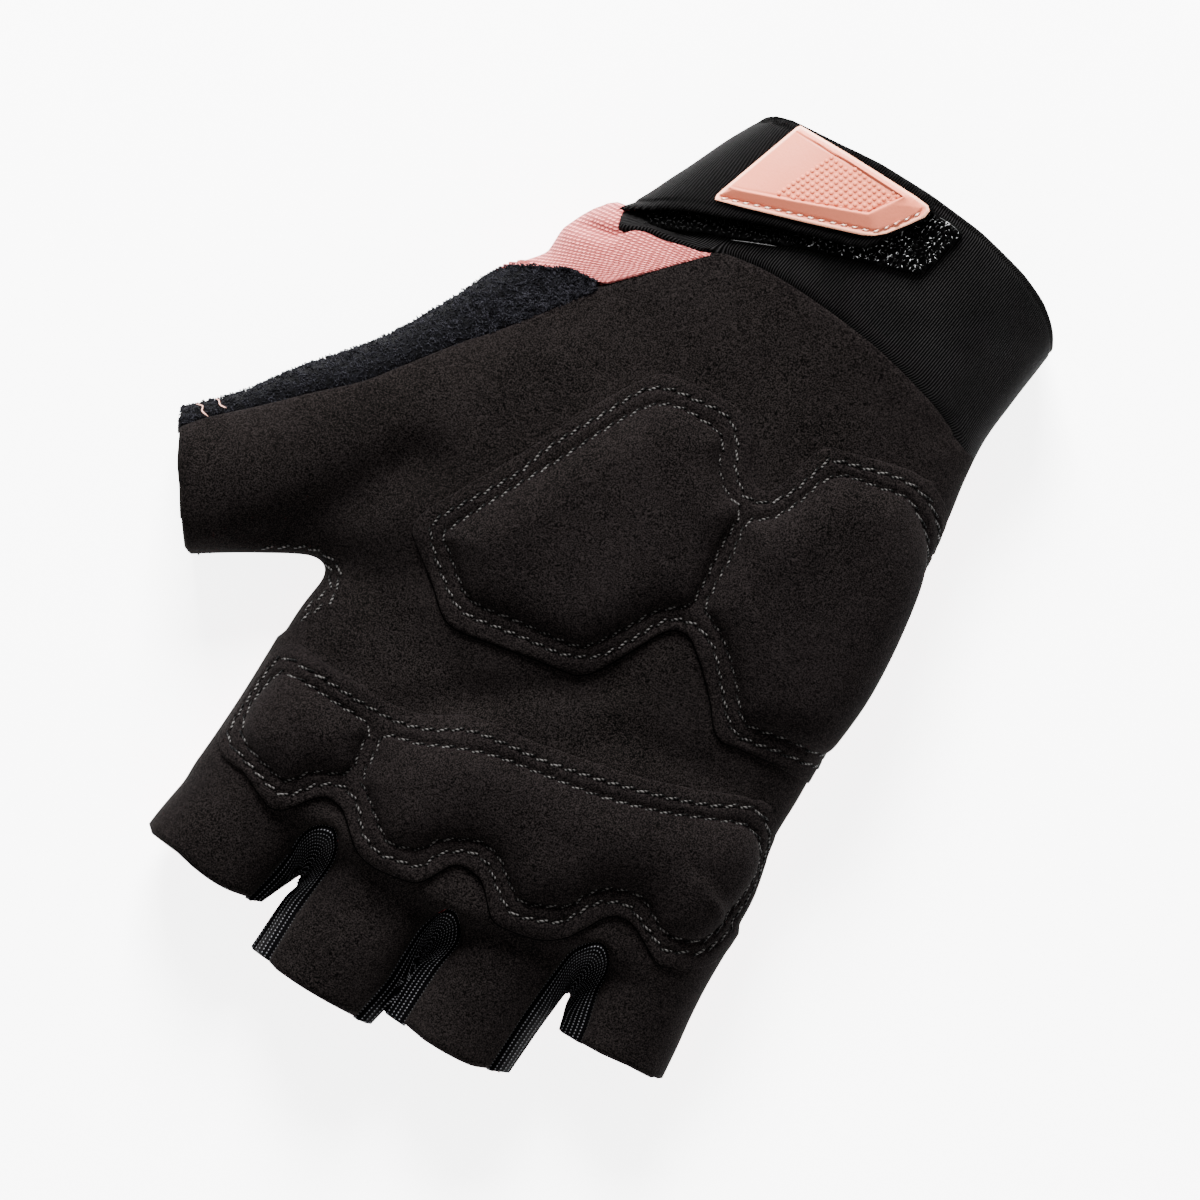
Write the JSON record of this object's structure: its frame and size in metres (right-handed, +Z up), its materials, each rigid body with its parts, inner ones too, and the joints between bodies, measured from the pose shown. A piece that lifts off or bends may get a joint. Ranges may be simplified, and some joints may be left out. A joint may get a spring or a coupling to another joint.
{
  "type": "fingerless cycling glove",
  "caption": "Right-hand fingerless cycling glove with padded suede palm, knit back and cuff, terry thumb, finger gussets and a hook-and-loop wrist strap with a moulded tab.",
  "frame": {"origin": "centre of the bounding box in plan, at its base, on the surface that the glove lies on", "axes": "+Y from the wrist to the fingertips, +X towards the thumb, +Z up out of the palm"},
  "size_m": [0.1229, 0.1611, 0.0316],
  "materials": {
    "suede": "matt nap",
    "mesh_knit": "open knitted mesh",
    "terry": "looped pile",
    "rib_knit": "fine rib",
    "webbing": "ribbed",
    "hook_tape": "moulded hooks",
    "moulded_rubber": "soft satin"
  },
  "bodies": {
    "root": {"palm": "suede", "back": "mesh_knit", "thumb_back": "terry", "cuff": "rib_knit", "gusset_little_ring": "webbing", "gusset_ring_middle": "webbing", "gusset_middle_index": "webbing", "heel_cover": "suede", "knuckle_cover": "suede", "hook_patch": "hook_tape", "strap": "rib_knit", "closure_tab": "moulded_rubber"}
  },
  "joints": []
}
